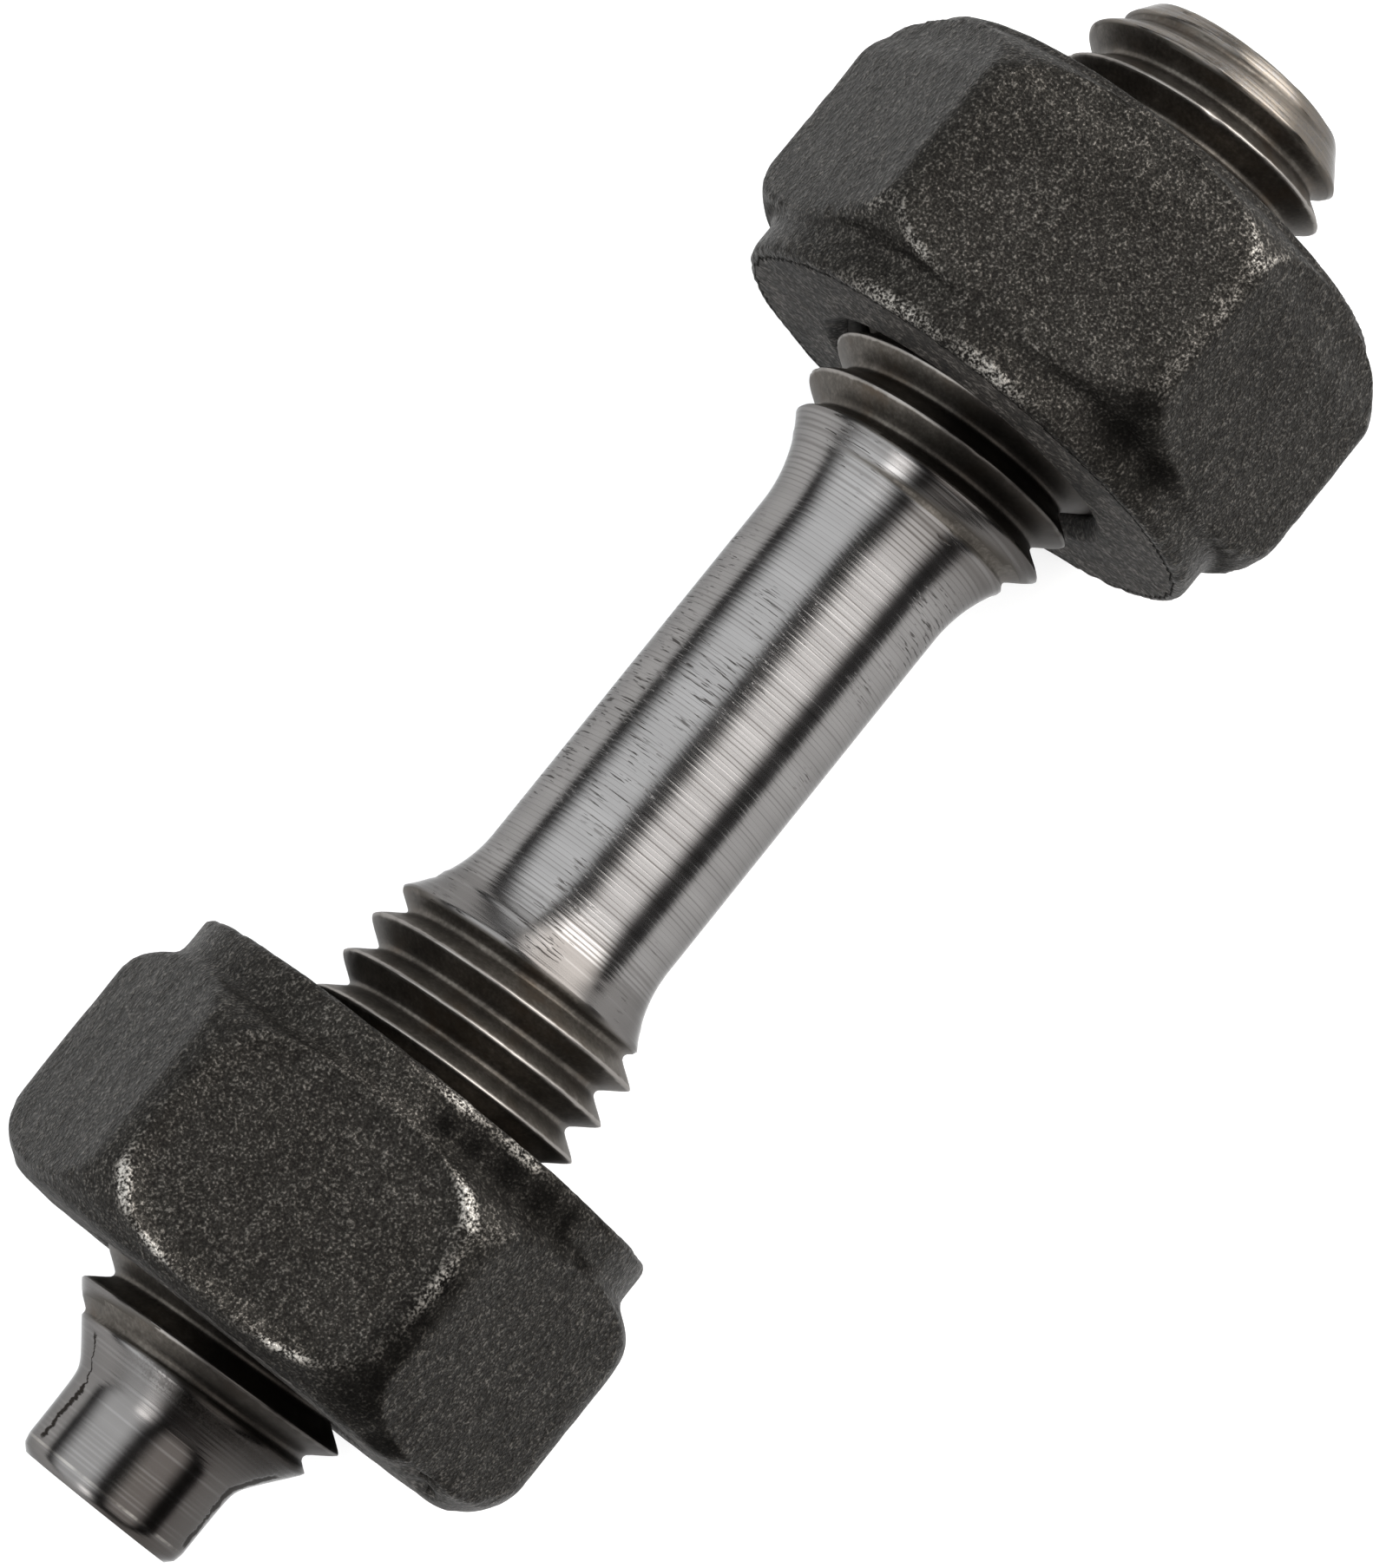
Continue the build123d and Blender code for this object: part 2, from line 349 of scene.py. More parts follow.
def make_stud():
    piece, angle, turn, phase = wound_grid("stud_steel", *STUD_TURNS, STUD_ROWS, STUD_AROUND)
    mesh = piece.data
    x = along_stud(turn)
    past = np.maximum(np.abs(x) - HALF_LENGTH, 0)
    x = np.clip(x, -HALF_LENGTH, HALF_LENGTH)
    blank = blank_radius(x)
    ridge = ridge_radius(phase)
    radius = soft_min(blank, ridge, EDGE_SOFTNESS)
    threaded = smooth_step(*THREADED, blank - ridge)
    crest = threaded * smooth_step(*ON_CREST, ridge)
    unworn = about_x(x, angle, radius)
    nicks = smooth_step(0.25, 0.7, lumps(unworn, 0.55 * MM, 3))
    wave = lumps(unworn, 2.5 * MM, 5)
    radius = radius - crest * (NICK_DEPTH * nicks + CREST_WAVE * (1 + wave))
    radius = radius * (1 - smooth_step(0, THREAD_PITCH, past))
    set_coordinates(mesh, about_x(x, angle, radius))
    paint(mesh, "crest", crest)
    paint(mesh, "threaded", threaded)
    merge_doubles(piece, STUD_MERGE)
    threaded = np.zeros(len(mesh.vertices), dtype=np.float32)
    mesh.attributes["threaded"].data.foreach_get("value", threaded)
    choose_faces(mesh, threaded, np.mean, 0.96)
    bpy.ops.object.shade_smooth()
    return piece


def make_nut_thread(name, node, crest):
    """The thread inside a nut's bore, in step with the stud's."""
    low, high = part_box(node)[0][0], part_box(node)[1][0]
    first = math.floor((low - crest) / THREAD_PITCH) - 1
    last = math.ceil((high - crest) / THREAD_PITCH) + 1
    piece, angle, turn, phase = wound_grid(name, first, last, 10, 96)
    x = np.clip(crest + THREAD_PITCH * turn, low + NUT_THREAD_INSET, high - NUT_THREAD_INSET)
    groove = ridge_radius(phase, NUT_THREAD_SOFTNESS, NUT_THREAD_SOFTNESS) + NUT_THREAD_PLAY
    from_mouth = np.minimum(x - low, high - x)
    mouth = BORE_RADIUS + COUNTERSINK + MOUTH_PLAY - from_mouth
    radius = np.maximum(np.maximum(groove, NUT_THREAD_RADIUS), mouth)
    set_coordinates(piece.data, about_x(x, angle, radius))
    merge_doubles(piece)
    pick(piece)
    apply_modifier(piece, "SOLIDIFY", thickness=NUT_THREAD_WALL, offset=-1)
    bpy.ops.object.shade_smooth()
    return piece


# ---------------------------------------------------------------- forged nuts

def nearness(places, spots):
    """1 at the spots and falling off round them; a spot is (X, Y, Z, reach) in millimetres."""
    near = np.zeros(len(places))
    for *spot, reach in spots:
        apart = np.linalg.norm(places - np.array(spot) * MM, axis=1)
        near = np.maximum(near, np.exp(-((apart / (reach * MM)) ** 2)))
    return near


def even_copy(name, node):
    """The node's solid with an even mesh and softened edges."""
    piece = bpy.data.objects.new(name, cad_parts[node].data.copy())
    bpy.context.scene.collection.objects.link(piece)
    merge_doubles(piece, 1e-6)
    apply_modifier(piece, "REMESH", mode="VOXEL", voxel_size=NUT_VOXEL)
    apply_modifier(piece, "SMOOTH", factor=0.5, iterations=4)
    return piece


def smoothed_coordinates(piece):
    """The vertices as they would lie on a much smoother piece."""
    spread = piece.modifiers.new("spread", "SMOOTH")
    spread.factor = 0.5
    spread.iterations = 24
    depsgraph = bpy.context.evaluated_depsgraph_get()
    smoothed = coordinates(piece.evaluated_get(depsgraph).to_mesh())
    piece.modifiers.remove(spread)
    return smoothed


def dish_and_rim(places, outward, dish):
    """Depth of the dish at each place, and how near the place is to the dish's rim."""
    middle_x, half_length, half_width, corner, depth = [value * MM for value in dish]
    beyond_x = np.abs(places[:, 0] - middle_x) - (half_length - corner)
    beyond_y = np.abs(places[:, 1]) - (half_width - corner)
    inside = np.minimum(np.maximum(beyond_x, beyond_y), 0)
    from_rim = np.hypot(np.maximum(beyond_x, 0), np.maximum(beyond_y, 0)) + inside - corner
    upper = smooth_step(0.75, 0.95, outward[:, 2]) * (places[:, 2] > 0)
    dished = upper * depth * smooth_step(0.1 * MM, -1.1 * MM, from_rim)
    near_rim = np.exp(-((from_rim / RIM_REACH) ** 2))
    return dished, smooth_step(0.55, 0.8, outward[:, 2]) * (depth > 0) * near_rim


def make_forged_nut(name, node, seed, marks):
    """The nut's solid with softened edges and the uneven skin of a forging.

    marks holds lists of spots: "rubbed" where the scale has worn off the edges, "scaled"
    where it lies dark and smooth, as dark scale and as painted shade, and "dents", whose
    spots end with a depth in millimetres; "dish" is the (X, half length, half width, corner
    radius, depth) of a shallow dish in the upper face, and "land" the (X, height) of the
    round land that stands proud of the corners at the outer end.
    """
    piece = even_copy(name, node)
    mesh = piece.data
    places = coordinates(mesh)
    smoothed = smoothed_coordinates(piece)
    outward = normals(mesh)
    bulge = ((places - smoothed) * outward).sum(axis=1)
    edge = smooth_step(*EDGE_BULGE, bulge)
    from_axis = np.hypot(places[:, 1], places[:, 2])
    land_x, land_height = [value * MM for value in marks["land"]]
    below_land = np.abs(land_x) - np.abs(places[:, 0])
    dished, rim = dish_and_rim(places, outward, marks["dish"])

    skin = smooth_step(CUT_RADIUS, SKIN_RADIUS, from_axis)
    uneven = SWELL * lumps(places, 3.2 * MM, seed) + RIPPLE * lumps(places, 1.1 * MM, seed + 1)
    nibbled = NIBBLE * edge * np.maximum(lumps(places, 0.6 * MM, seed + 2), 0)
    dented = sum(deep * MM * nearness(places, [spot]) for *spot, deep in marks["dents"])
    at_corner = smooth_step(*CORNER_RADII, from_axis)
    cut_back = land_height * at_corner * smooth_step(*CORNER_DROP, below_land)
    grown = skin * (uneven - SKIN_LOSS - nibbled) - dented - dished - cut_back + RIM_BEAD * rim
    forged = places + outward * grown[:, None]
    set_coordinates(mesh, forged)

    rubbed = nearness(places, marks["rubbed"])
    worn = edge * (0.05 + 0.6 * rubbed) + rim * (0.14 + 0.42 * rubbed)
    paint(mesh, "worn", np.clip(worn, 0, 1))
    face = np.abs(outward[:, 0]) ** 6 * (edge < 0.5)
    turns = [ROUND * (k + 0.5) / 6 for k in range(6)]
    flats = np.array([(math.cos(turn), math.sin(turn)) for turn in turns])
    on_flat = smooth_step(0.975, 0.995, (outward[:, 1:] @ flats.T).max(axis=1))
    # the flat ends and the spots listed are painted dark: dark scale and painted shade
    shaded_end_faces = face * np.where(below_land < 1.0 * MM, 0.3, 1.0)
    scale_and_shade = np.maximum(shaded_end_faces, nearness(forged, marks["scale_and_shade"]) * (1 - on_flat))
    # the deepest dents, the chips, are painted dark as shade
    chips = [spot for *spot, deep in marks["dents"] if deep > CHIP_DEPTH]
    paint(mesh, "scale_and_shade", np.maximum(scale_and_shade, nearness(places, chips) ** 1.5))
    flat_end = np.maximum(face * (from_axis < FLAT_END_RADIUS), from_axis < CUT_RADIUS)
    choose_faces(mesh, flat_end, np.min, 0.9)
    pick(piece)
    bpy.ops.object.shade_smooth()
    return piece


# ---------------------------------------------------------------- shader nodes

def new_material(name):
    material = bpy.data.materials.new(name)
    material.use_nodes = True
    return material, material.node_tree, material.node_tree.nodes["Principled BSDF"]


def clothe(piece, *materials):
    """Gives the piece its materials, and keeps the one that each face has."""
    slots = np.zeros(len(piece.data.polygons), dtype=np.int32)
    piece.data.polygons.foreach_get("material_index", slots)
    piece.data.materials.clear()
    for material in materials:
        piece.data.materials.append(material)
    piece.data.polygons.foreach_set("material_index", np.minimum(slots, len(materials) - 1))


def linear(hex_colour):
    """A colour written as sRGB hex, as the linear values that a shader takes."""
    channels = [int(hex_colour[i:i + 2], 16) / 255 for i in (1, 3, 5)]
    return [c / 12.92 if c <= 0.04045 else ((c + 0.055) / 1.055) ** 2.4 for c in channels] + [1]


def grey(value):
    return (value, value, value, 1)


def give(tree, socket, value):
    """Links a node's output to an input, or sets a number, a colour or sRGB hex on it."""
    if isinstance(value, bpy.types.NodeSocket):
        tree.links.new(value, socket)
    else:
        socket.default_value = linear(value) if isinstance(value, str) else value


def fill(tree, node, values):
    """Gives a node's inputs their values, by name."""
    for name, value in values.items():
        give(tree, node.inputs[name], value)


def ramp(tree, value, stops):
    """Colours, or greys, at their positions between 0 and 1."""
    node = tree.nodes.new("ShaderNodeValToRGB")
    elements = node.color_ramp.elements
    while len(elements) < len(stops):
        elements.new(0.5)
    for element, (position, colour) in zip(elements, stops):
        element.position = position
        element.color = linear(colour) if isinstance(colour, str) else grey(colour)
    give(tree, node.inputs["Fac"], value)
    return node.outputs["Color"]


def noise_on(tree, vector, scale, detail, roughness=0.55):
    node = tree.nodes.new("ShaderNodeTexNoise")
    values = {"Vector": vector, "Scale": scale, "Detail": detail, "Roughness": roughness}
    fill(tree, node, values)
    return node.outputs["Fac"]


def object_place(tree):
    return tree.nodes.new("ShaderNodeTexCoord").outputs["Object"]


def streaks(tree, scale, detail, roughness=0.55):
    """Noise with its own scale along each of X, Y and Z."""
    node = tree.nodes.new("ShaderNodeMapping")
    fill(tree, node, {"Vector": object_place(tree), "Scale": scale})
    return noise_on(tree, node.outputs["Vector"], 1, detail, roughness)


def attribute(tree, name):
    node = tree.nodes.new("ShaderNodeAttribute")
    node.attribute_name = name
    return node.outputs["Fac"]


def mixed(tree, factor, first, second, kind="RGBA", blend="MIX"):
    node = tree.nodes.new("ShaderNodeMix")
    node.data_type = kind
    node.blend_type = blend
    first_in, second_in, out = MIX_SOCKETS[kind]
    for socket, value in ((0, factor), (first_in, first), (second_in, second)):
        give(tree, node.inputs[socket], value)
    return node.outputs[out]


def between(tree, factor, low, high):
    """A number that goes from low to high with the factor."""
    return mixed(tree, factor, low, high, "FLOAT")


def layered(tree, colour, layers):
    """The colour under layers, each a share and a colour, the last on top."""
    for share, layer in layers:
        colour = mixed(tree, share, colour, layer)
    return colour


def maths(tree, kind, first, second=0):
    node = tree.nodes.new("ShaderNodeMath")
    node.operation = kind
    give(tree, node.inputs[0], first)
    give(tree, node.inputs[1], second)
    return node.outputs[0]


def total(tree, first, second):
    return maths(tree, "ADD", first, second)


def larger(tree, first, second):
    return maths(tree, "MAXIMUM", first, second)


def product(tree, *values):
    result = values[0]
    for value in values[1:]:
        result = maths(tree, "MULTIPLY", result, value)
    return result


def bumped(tree, height, strength, distance, below=None):
    node = tree.nodes.new("ShaderNodeBump")
    fill(tree, node, {"Strength": strength, "Distance": distance, "Height": height})
    if below is not None:
        give(tree, node.inputs["Normal"], below)
    return node.outputs["Normal"]


def apart_xyz(tree):
    """Object coordinates, one socket each."""
    node = tree.nodes.new("ShaderNodeSeparateXYZ")
    give(tree, node.inputs["Vector"], object_place(tree))
    return node.outputs["X"], node.outputs["Y"], node.outputs["Z"]


def step_between(tree, value, low, high):
    """0 below low and 1 above high, or the other way round where low is the larger."""
    node = tree.nodes.new("ShaderNodeMapRange")
    node.interpolation_type = "SMOOTHSTEP"
    falling = low > high
    fill(tree, node, {
        "Value": value, "From Min": min(low, high), "From Max": max(low, high),
        "To Min": int(falling), "To Max": int(not falling),
    })
    return node.outputs["Result"]


def near_value(tree, value, middle, reach):
    """1 where the value is at the middle, and 0 further from it than the reach."""
    off = maths(tree, "ABSOLUTE", maths(tree, "SUBTRACT", value, middle))
    return step_between(tree, off, reach, reach * 0.35)


# ---------------------------------------------------------------- materials

def new_group(name, inputs, outputs):
    """An empty node group, with the values of its inputs and the names of its outputs."""
    group = bpy.data.node_groups.new(name, "ShaderNodeTree")
    add_socket = group.interface.new_socket
    for socket, value in inputs.items():
        add_socket(socket, in_out="INPUT", socket_type="NodeSocketFloat").default_value = value
    for socket in outputs:
        add_socket(socket, in_out="OUTPUT", socket_type="NodeSocketFloat")
    return group, group.nodes.new("NodeGroupInput").outputs, group.nodes.new("NodeGroupOutput")


def placed(tree, group, values):
    """The outputs of a node group that is put in a material with its own values."""
    node = tree.nodes.new("ShaderNodeGroup")
    node.node_tree = group
    fill(tree, node, values)
    return node.outputs


def make_grain():
    """The grain of forged and rolled surfaces, for any material.

    Fine is the smallest grain, Coarse the lumps under it, Speckle the two together and
    Patches the slow change from one part of a piece to another.
    """
    inputs = {"Fine Scale": FINE_SCALE, "Coarse Scale": COARSE_SCALE, "Fine Share": FINE_SHARE}
    group, given, result = new_group("grain", inputs, ("Fine", "Coarse", "Speckle", "Patches"))
    place = object_place(group)
    fine = noise_on(group, place, given["Fine Scale"], 2, 0.5)
    coarse = noise_on(group, place, given["Coarse Scale"], 3, 0.6)
    fill(group, result, {
        "Fine": fine,
        "Coarse": coarse,
        "Speckle": between(group, given["Fine Share"], coarse, fine),
        "Patches": noise_on(group, place, PATCH_SCALE, 4, 0.6),
    })
    return group


def grain_on(tree, fine_scale=FINE_SCALE, coarse_scale=COARSE_SCALE, fine_share=FINE_SHARE):
    values = {"Fine Scale": fine_scale, "Coarse Scale": coarse_scale, "Fine Share": fine_share}
    return placed(tree, GRAIN, values)


def make_nut_shadow():
    """Painted shadow that the nuts cast by their mouths, on the side towards -Y: Share is how much
    of it.
    """
    group, given, result = new_group("nut_shadow_group", {"Strength": 1.0}, ("Share",))
    x, y, _ = apart_xyz(group)
    at_mouths = larger(group, *(near_value(group, x, *mouth) for mouth in SHADED_MOUTHS))
    beneath = step_between(group, y, 2.5 * MM, -1.5 * MM)
    fill(group, result, {"Share": product(group, at_mouths, beneath, given["Strength"])})
    return group


def under_nut_shadow(tree, colour):
    """The colour with the nuts' painted shadow over it."""
    return mixed(tree, placed(tree, NUT_SHADOW, {"Strength": 0.8})["Share"], colour, NUT_SHADOW_COLOUR)


def seam(tree, angle, low, high, width):
    """A jagged crack along the pilot: 1 on the line, from X low to X high."""
    x, y, z = apart_xyz(tree)
    jag = 0.26
    around = maths(tree, "ARCTAN2", z, y)
    bent = total(tree, around, product(tree, streaks(tree, (2200, 150, 150), 4, 0.75), jag))
    off = maths(tree, "SUBTRACT", bent, math.radians(angle) + jag / 2)
    breadth = step_between(tree, streaks(tree, (1500, 150, 150), 2), 0.3, 0.65)
    breadth = total(tree, product(tree, breadth, width), width * 0.3)
    off = maths(tree, "DIVIDE", maths(tree, "ABSOLUTE", off), breadth)
    return product(
        tree, step_between(tree, off, 1, 0.4),
        step_between(tree, x, low, low + 0.2 * MM), step_between(tree, x, high, high - 0.2 * MM),
    )


def turning_rings(tree, x):
    """The rings that the tool left: 0 in each ring's bottom, uneven from ring to ring."""
    drift = product(tree, streaks(tree, (500, 60, 60), 2), 4.5)
    feed = total(tree, product(tree, x, ROUND / 2 / FEED), drift)
    rings = maths(tree, "POWER", maths(tree, "ABSOLUTE", maths(tree, "SINE", feed)), 0.5)
    depth = step_between(tree, streaks(tree, (3600, 70, 70), 1), 0.3, 0.7)
    past_pilot_lip = step_between(tree, x, PILOT_LIP, PILOT_LIP + RINGS_FADE)
    past_plain_lip = step_between(tree, x, PLAIN_LIP, PLAIN_LIP - RINGS_FADE)
    return product(
        tree, rings, between(tree, depth, 0.55, 1.25),
        between(tree, past_pilot_lip, 0.3, 1.0), between(tree, past_plain_lip, 0.55, 1.0),
    )


def lap_marks(tree, x, y):
    """Short dark marks round the shank, most of them along one side of it."""
    laps = step_between(tree, streaks(tree, (13000, 900, 900), 2, 0.5), 0.61, 0.67)
    side = product(tree, near_value(tree, y, 2.0 * MM, 3.4 * MM), 0.16)
    where = step_between(tree, total(tree, streaks(tree, (130, 260, 260), 2), side), 0.58, 0.68)
    return product(tree, laps, where, step_between(tree, x, -14 * MM, -12 * MM), 0.75)


def turned_steel():
    """The bright turned shank, necks, pilot and chamfer, with fine rings all round."""
    material, tree, shader = new_material("turned_steel")
    x, y, _ = apart_xyz(tree)
    rings = turning_rings(tree, x)
    bands = streaks(tree, (700, 12, 12), 2)
    grain = grain_on(tree, 9000, 2500, 0.5)
    threaded = attribute(tree, "threaded")
    cracks = larger(tree, *(seam(tree, *crack) for crack in PILOT_CRACKS))
    marks = larger(tree, lap_marks(tree, x, y), cracks)
    # painted shade in the ring bottoms, on the plain end's neck and over the pilot and its root;
    # the cone's dark grain, kept to its -Y side as painted shade; a painted highlight round the
    # rim of the pilot's end; and a warm tone on the plain end's chamfer
    cut = product(
        tree, step_between(tree, rings, 0.5, 0.2),
        between(tree, near_value(tree, y, -1.6 * MM, 2.0 * MM), 0.42, 0.75),
    )
    # painted shade on the plain end's neck by its nut, on the -Y side
    neck_shade = product(
        tree, step_between(tree, x, 10.5 * MM, 12.5 * MM),
        step_between(tree, y, 1.0 * MM, -3.0 * MM), 0.45,
    )
    # painted shade over the pilot and its root, on the -Y side
    pilot_shade = product(
        tree, step_between(tree, x, -27.6 * MM, -29.4 * MM),
        step_between(tree, y, 0.6 * MM, -1.2 * MM), 0.6,
    )
    # dark rough grain on the cone, kept to the -Y side, where it is also painted shade
    cone_grain_and_shade = product(
        tree, near_value(tree, x, -29.5 * MM, 1.1 * MM),
        step_between(tree, grain["Speckle"], 0.42, 0.6),
        step_between(tree, y, 2.5 * MM, 0.5 * MM), 0.35,
    )
    # a pale broken line round the rim of the pilot's end: a painted highlight
    rim_highlight = product(
        tree, near_value(tree, x, -34.36 * MM, 0.08 * MM),
        step_between(tree, grain["Patches"], 0.42, 0.6), 0.35,
    )
    warm = product(
        tree, step_between(tree, x, 31.5 * MM, 33.5 * MM),
        step_between(tree, grain["Speckle"], 0.3, 0.6), 0.7,
    )
    colour = layered(tree, ramp(tree, bands, [(0.3, "#747271"), (0.7, "#807e7d")]), [
        (cut, SHADE_GREY),
        (neck_shade, SHADE_GREY),
        # painted shade over the pilot, with the cone's dark grain
        (larger(tree, pilot_shade, cone_grain_and_shade), "#2f2b28"),
        (rim_highlight, "#b5b1ab"),
        (marks, "#2b2724"),
        (warm, "#6a6258"),
        (threaded, "#4a4641"),
    ])
    rough = layered(tree, ramp(tree, bands, [(0.3, 0.20), (0.7, 0.25)]), [
        (larger(tree, marks, cone_grain_and_shade), grey(0.6)),
        (threaded, grey(0.5)),
    ])
    scratches = product(tree, streaks(tree, (9000, 60, 60), 3, 0.6), 1.6)
    height = maths(tree, "SUBTRACT", total(tree, rings, scratches), product(tree, marks, 3.0))
    lie = tree.nodes.new("ShaderNodeTangent")
    lie.direction_type = "RADIAL"
    lie.axis = "X"
    fill(tree, shader, {
        "Metallic": 1, "Specular Tint": grey(0.6),
        "Base Color": under_nut_shadow(tree, colour), "Roughness": rough,
        "Normal": bumped(tree, height, 1.0, 0.008 * MM), "Tangent": lie.outputs["Tangent"],
        "Anisotropic": 0.8, "Anisotropic Rotation": 0.25,
    })
    return material


def rolled_steel():
    """The rolled threads: dark satin flanks, and thin pale crests, bare metal with a painted
    highlight.
    """
    material, tree, shader = new_material("rolled_steel")
    grain = grain_on(tree, 6500, 1500, 0.5)
    speckle = grain["Speckle"]
    # the crests are painted pale: bare metal, and a painted highlight along them
    bare = total(tree, attribute(tree, "crest"), product(tree, grain["Coarse"], 0.8))
    bare = step_between(tree, bare, 0.95, 1.45)
    flank = ramp(tree, speckle, [(0.35, "#423e3a"), (0.5, "#4f4b46"), (0.68, "#625d58")])
    colour = layered(tree, flank, [
        (step_between(tree, grain["Patches"], 0.5, 0.75), "#4a4138"),
        (bare, "#807c78"),
    ])
    fill(tree, shader, {
        "Metallic": 1, "Specular Tint": grey(0.7), "Base Color": under_nut_shadow(tree, colour),
        "Roughness": mixed(tree, bare, grey(0.44), grey(0.38)),
        "Normal": bumped(tree, speckle, 0.4, 0.010 * MM),
    })
    return material


def forged_black():
    """Black forged steel: pale specks on dark scale, bare where the edges are worn, and dark dull
    scale painted as shade.
    """
    material, tree, shader = new_material("forged_black")
    shader.distribution = "GGX"
    grain = grain_on(tree)
    speckle = grain["Speckle"]
    worn = attribute(tree, "worn")
    scale_and_shade = attribute(tree, "scale_and_shade")
    base = ramp(tree, speckle, [(0.38, "#1c1a18"), (0.54, "#302e2b"), (0.70, "#726e69")])
    # painted shade, as dark dull scale, on the flat ends and the spots listed
    base = mixed(tree, product(tree, scale_and_shade, 0.85), base, DARK_SCALE_AND_SHADE)
    tint = mixed(tree, grain["Patches"], "#97948f", "#ffffff")
    tinted = mixed(tree, 1, base, tint, blend="MULTIPLY")
    cover = total(tree, speckle, product(tree, worn, 0.08))
    scuff = product(
        tree, step_between(tree, cover, 0.46, 0.70), step_between(tree, worn, 0.02, 0.5),
    )
    bare = mixed(tree, step_between(tree, worn, 0.2, 0.9), "#6b6762", "#a29e98")
    rough = ramp(tree, speckle, [(0.40, 0.52), (0.66, 0.38)])
    low = bumped(tree, grain["Coarse"], 0.9, 0.12 * MM)
    fill(tree, shader, {
        "Metallic": 0.85, "Specular IOR Level": 0.3,
        "Specular Tint": mixed(tree, scale_and_shade, grey(0.72), grey(0.2)),
        "Base Color": mixed(tree, scuff, tinted, bare),
        "Roughness": mixed(tree, scale_and_shade, rough, grey(0.75)),
        "Normal": bumped(tree, grain["Fine"], 0.8, 0.05 * MM, low),
    })
    return material


def shaded_end_black():
    """The flat ends of the nuts, painted matt black as shade."""
    material, tree, shader = new_material("shaded_end_black")
    shader.distribution = "GGX"
    grain = grain_on(tree, 6000, 1800, 0.5)
    speckle = grain["Speckle"]
    base = ramp(tree, speckle, [(0.38, DARK_SCALE_AND_SHADE), (0.52, "#24211e"), (0.68, "#585450")])
    fill(tree, shader, {
        "Metallic": 0, "Specular IOR Level": 0.15,
        "Base Color": mixed(tree, step_between(tree, grain["Patches"], 0.45, 0.8), base, "#181715"),
        "Roughness": ramp(tree, grain["Fine"], [(0.4, 0.8), (0.7, 0.6)]),
        "Normal": bumped(tree, speckle, 0.9, 0.09 * MM),
    })
    return material


def shaded_cut_steel():
    """The thread cut inside a nut, its steel painted dark as the shade inside the bore."""
    material, tree, shader = new_material("shaded_cut_steel")
    shader.distribution = "GGX"
    speckle = grain_on(tree, 4000, 1500, 0.4)["Speckle"]
    fill(tree, shader, {
        "Metallic": 0.5, "Specular IOR Level": 0.25, "Specular Tint": grey(0.6),
        "Base Color": ramp(tree, speckle, [(0.35, "#1f1d1b"), (0.7, "#3a3632")]),
        "Roughness": ramp(tree, speckle, [(0.35, 0.65), (0.7, 0.50)]),
    })
    return material


GRAIN = make_grain()
NUT_SHADOW = make_nut_shadow()


# ---------------------------------------------------------------- pieces

stud = make_stud()
clothe(stud, turned_steel(), rolled_steel())
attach(stud, "stud")
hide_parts("stud")

nut_finish = forged_black()
shaded_end_finish = shaded_end_black()
shaded_thread_finish = shaded_cut_steel()
for node, seed, crest, marks in (
    ("plain_end_nut", 11, PLAIN_CREST, PLAIN_NUT_MARKS),
    ("pilot_end_nut", 23, PILOT_CREST, PILOT_NUT_MARKS),
):
    nut = make_forged_nut(node + "_forging", node, seed, marks)
    clothe(nut, nut_finish, shaded_end_finish)
    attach(nut, node)
    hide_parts(node)
    thread = make_nut_thread(node + "_thread", node, crest)
    clothe(thread, shaded_thread_finish)
    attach(thread, node)


# ---------------------------------------------------------------- camera

LENS = 152.4
SENSOR_WIDTH = 36
CAMERA_DISTANCE = 251.9 * MM
TIP = math.radians(7.3)  # the view leans towards the pilot end
LEAN = math.radians(7.0)  # and towards -Y
ROLL = math.radians(38.81)  # of the camera's upright from the stud
AIM_X = 0.255 * MM  # the camera looks here, this far along the stud
AIM_ACROSS = 0.48 * MM  # and this far to its side

toward_camera = Vector((
    -math.sin(TIP), -math.sin(LEAN) * math.cos(TIP), math.cos(LEAN) * math.cos(TIP),
))
along = Vector((math.cos(TIP), -math.sin(TIP) * math.sin(LEAN), math.sin(TIP) * math.cos(LEAN)))
across = along.cross(toward_camera)
middle = Vector((AIM_X, 0, 0)) + AIM_ACROSS * across


def turned_to(right, up, back):
    """The rotation that turns X, Y and Z to those three directions."""
    return Matrix((right, up, back)).transposed().to_4x4()


def make_camera():
    data = bpy.data.cameras.new("camera")
    data.lens = LENS
    data.sensor_width = SENSOR_WIDTH
    data.clip_start = 0.01
    camera = bpy.data.objects.new("camera", data)
    bpy.context.scene.collection.objects.link(camera)
    up = math.cos(ROLL) * along - math.sin(ROLL) * across
    right = math.cos(ROLL) * across + math.sin(ROLL) * along
    place = Matrix.Translation(middle + CAMERA_DISTANCE * toward_camera)
    camera.matrix_world = place @ turned_to(right, up, toward_camera)
    bpy.context.scene.camera = camera


# ---------------------------------------------------------------- studio

def seen_ray(tree):
    """1 for camera, glossy and transmission rays."""
    rays = tree.nodes.new("ShaderNodeLightPath").outputs
    either = larger(tree, rays["Is Camera Ray"], rays["Is Glossy Ray"])
    return larger(tree, either, rays["Is Transmission Ray"])


def glowing(tree, colour, strength):
    node = tree.nodes.new("ShaderNodeEmission")
    fill(tree, node, {"Color": colour, "Strength": strength})
    return node.outputs["Emission"]


def blended(tree, share, first, second):
    """A shader that goes from the first to the second with the share."""
    node = tree.nodes.new("ShaderNodeMixShader")
    for socket, value in enumerate((share, first, second)):
        give(tree, node.inputs[socket], value)
    return node.outputs["Shader"]


def show(tree, surface):
    give(tree, tree.nodes["Material Output"].inputs["Surface"], surface)


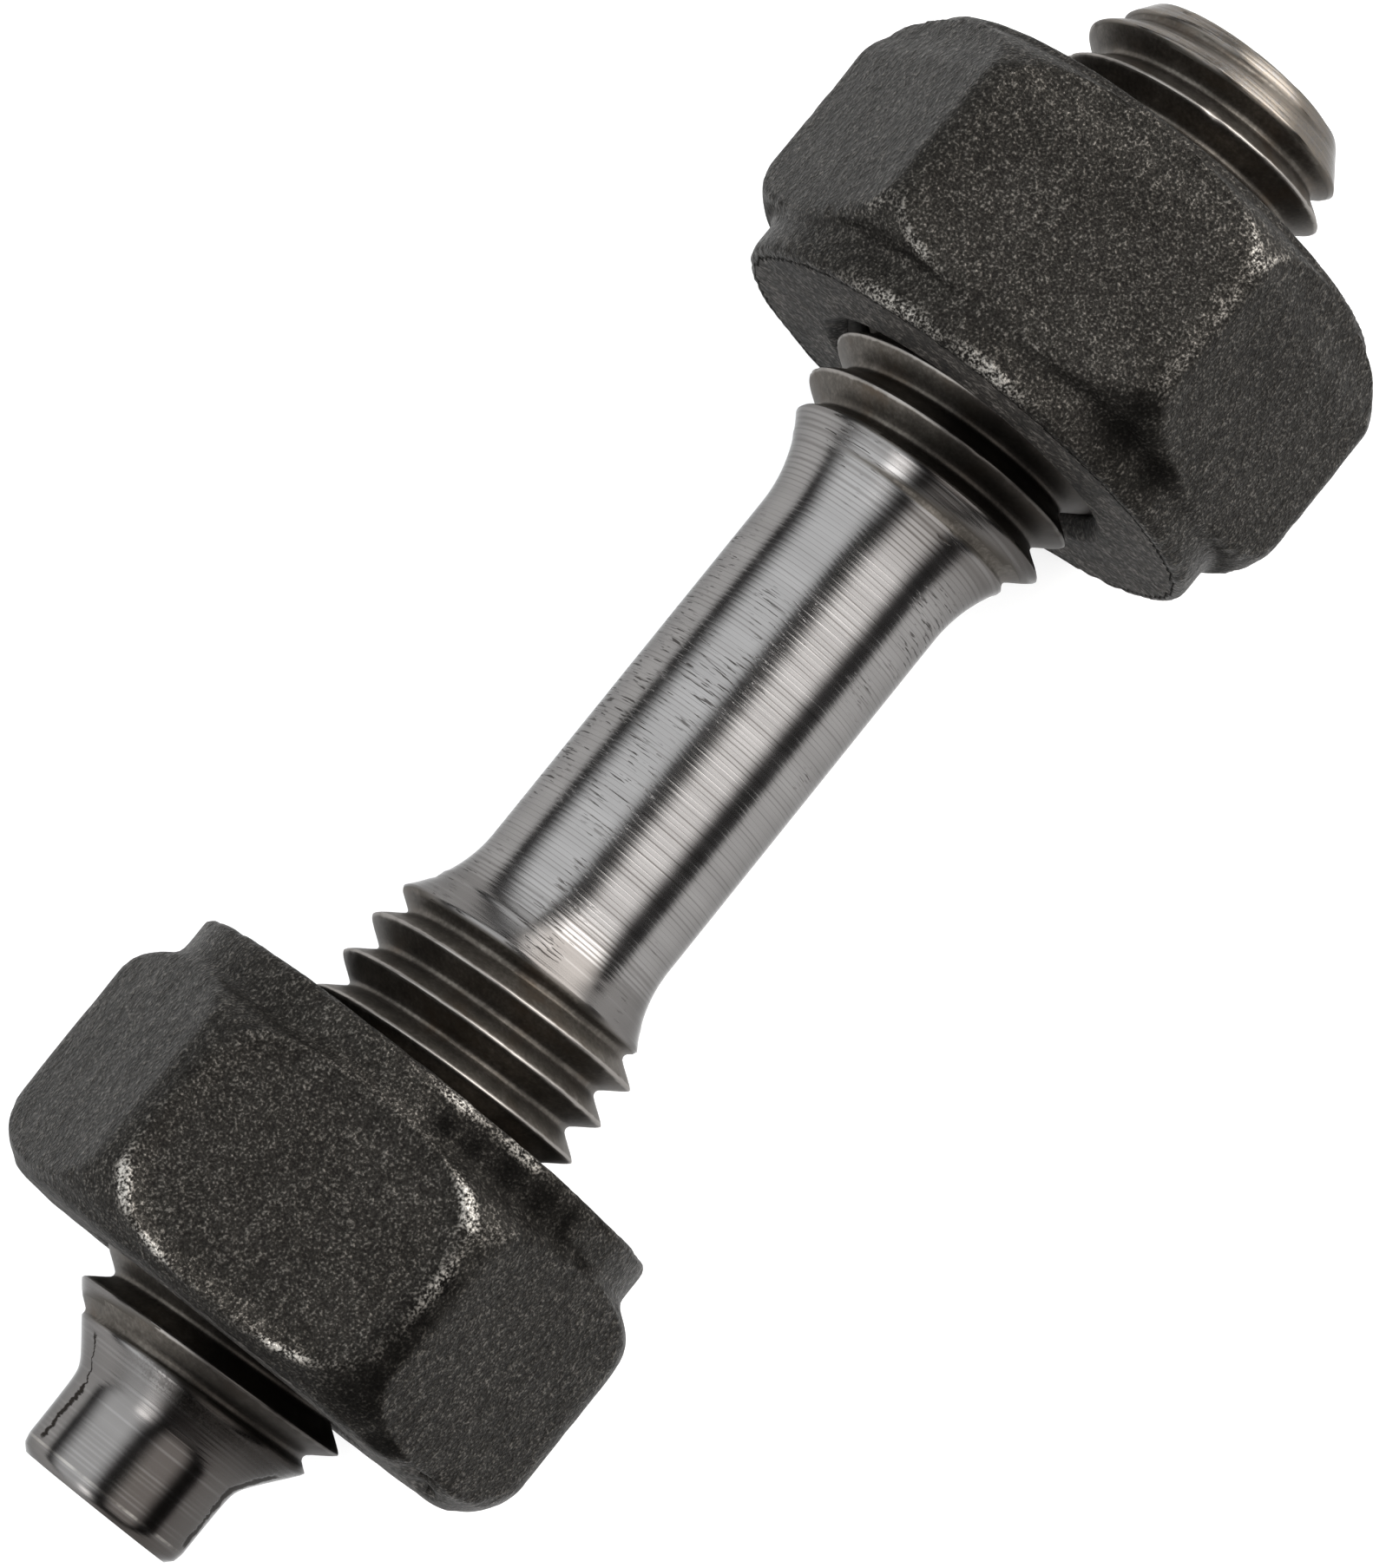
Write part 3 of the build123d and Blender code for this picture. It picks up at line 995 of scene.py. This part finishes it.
def make_floor():
    deselect()
    low = CAD_BOX[0][2]
    bpy.ops.mesh.primitive_plane_add(size=6, location=(0, 0, low))
    floor = bpy.context.object
    floor.name = "floor"
    bpy.ops.object.transform_apply(location=True)
    material, tree, shader = new_material("pale_floor")
    fill(tree, shader, {"Base Color": grey(0.86), "Roughness": 0.9, "Specular IOR Level": 0})
    share = product(tree, seen_ray(tree), 0.5)
    show(tree, blended(tree, share, shader.outputs["BSDF"], glowing(tree, grey(1), 1.3)))
    clothe(floor, material)


def around_stud(side, lift):
    """Direction that many degrees from the view: side towards -Y, lift towards +X."""
    side, lift = math.radians(side), math.radians(lift)
    level = math.cos(side) * toward_camera + math.sin(side) * across
    return math.cos(lift) * level + math.sin(lift) * along


def make_card(name, direction, distance, width, length, strength, soft=None, tint=(1, 1, 1)):
    """A glowing card that faces the stud and that the camera doesn't see.

    Its length runs along the stud. soft gives the shares of its width and of its length
    over which it fades out at the rim.
    """
    deselect()
    bpy.ops.mesh.primitive_plane_add(size=2)
    card = bpy.context.object
    card.name = name
    upright = (along - along.dot(direction) * direction).normalized()
    facing = turned_to(upright.cross(direction), upright, direction)
    spot = Matrix.Translation(middle + direction * distance)
    card.matrix_world = spot @ facing @ Matrix.Diagonal((width / 2, length / 2, 1, 1))
    card.visible_camera = False
    card.visible_shadow = False
    material, tree, shader = new_material(name)
    tree.nodes.remove(shader)
    surface = glowing(tree, (*tint, 1), strength)
    if soft:
        shares = [
            step_between(tree, maths(tree, "ABSOLUTE", value), 1, 1 - share)
            for value, share in zip(apart_xyz(tree), soft)
        ]
        clear = tree.nodes.new("ShaderNodeBsdfTransparent").outputs["BSDF"]
        surface = blended(tree, product(tree, *shares), clear, surface)
    show(tree, surface)
    clothe(card, material)


def make_world():
    world = bpy.data.worlds.new("studio")
    bpy.context.scene.world = world
    world.use_nodes = True
    tree = world.node_tree
    strength = between(tree, seen_ray(tree), 0.55, 1.0)
    fill(tree, tree.nodes["Background"], {"Color": grey(1), "Strength": strength})


make_camera()
make_world()
make_floor()
make_card("ceiling", Vector((0, 0, 1)), 0.6, 24, 24, 0.05)
make_card("left_softbox", around_stud(-46, -4), 0.5, 0.88, 3.4, 2.3, (0.7, 0.35), (0.95, 0.98, 1))
make_card("right_softbox", around_stud(30, 8), 0.5, 0.60, 2.2, 2.6, (0.7, 0.6), (1, 0.99, 0.98))
make_card("end_softbox", around_stud(33, 60), 0.5, 0.66, 0.7, 8.0, (0.6, 0.6), (1, 0.99, 0.97))
make_card("pilot_softbox", around_stud(-26, -50), 0.5, 0.20, 0.35, 7.0, (0.8, 0.8))

bpy.context.scene.view_settings.view_transform = "Standard"
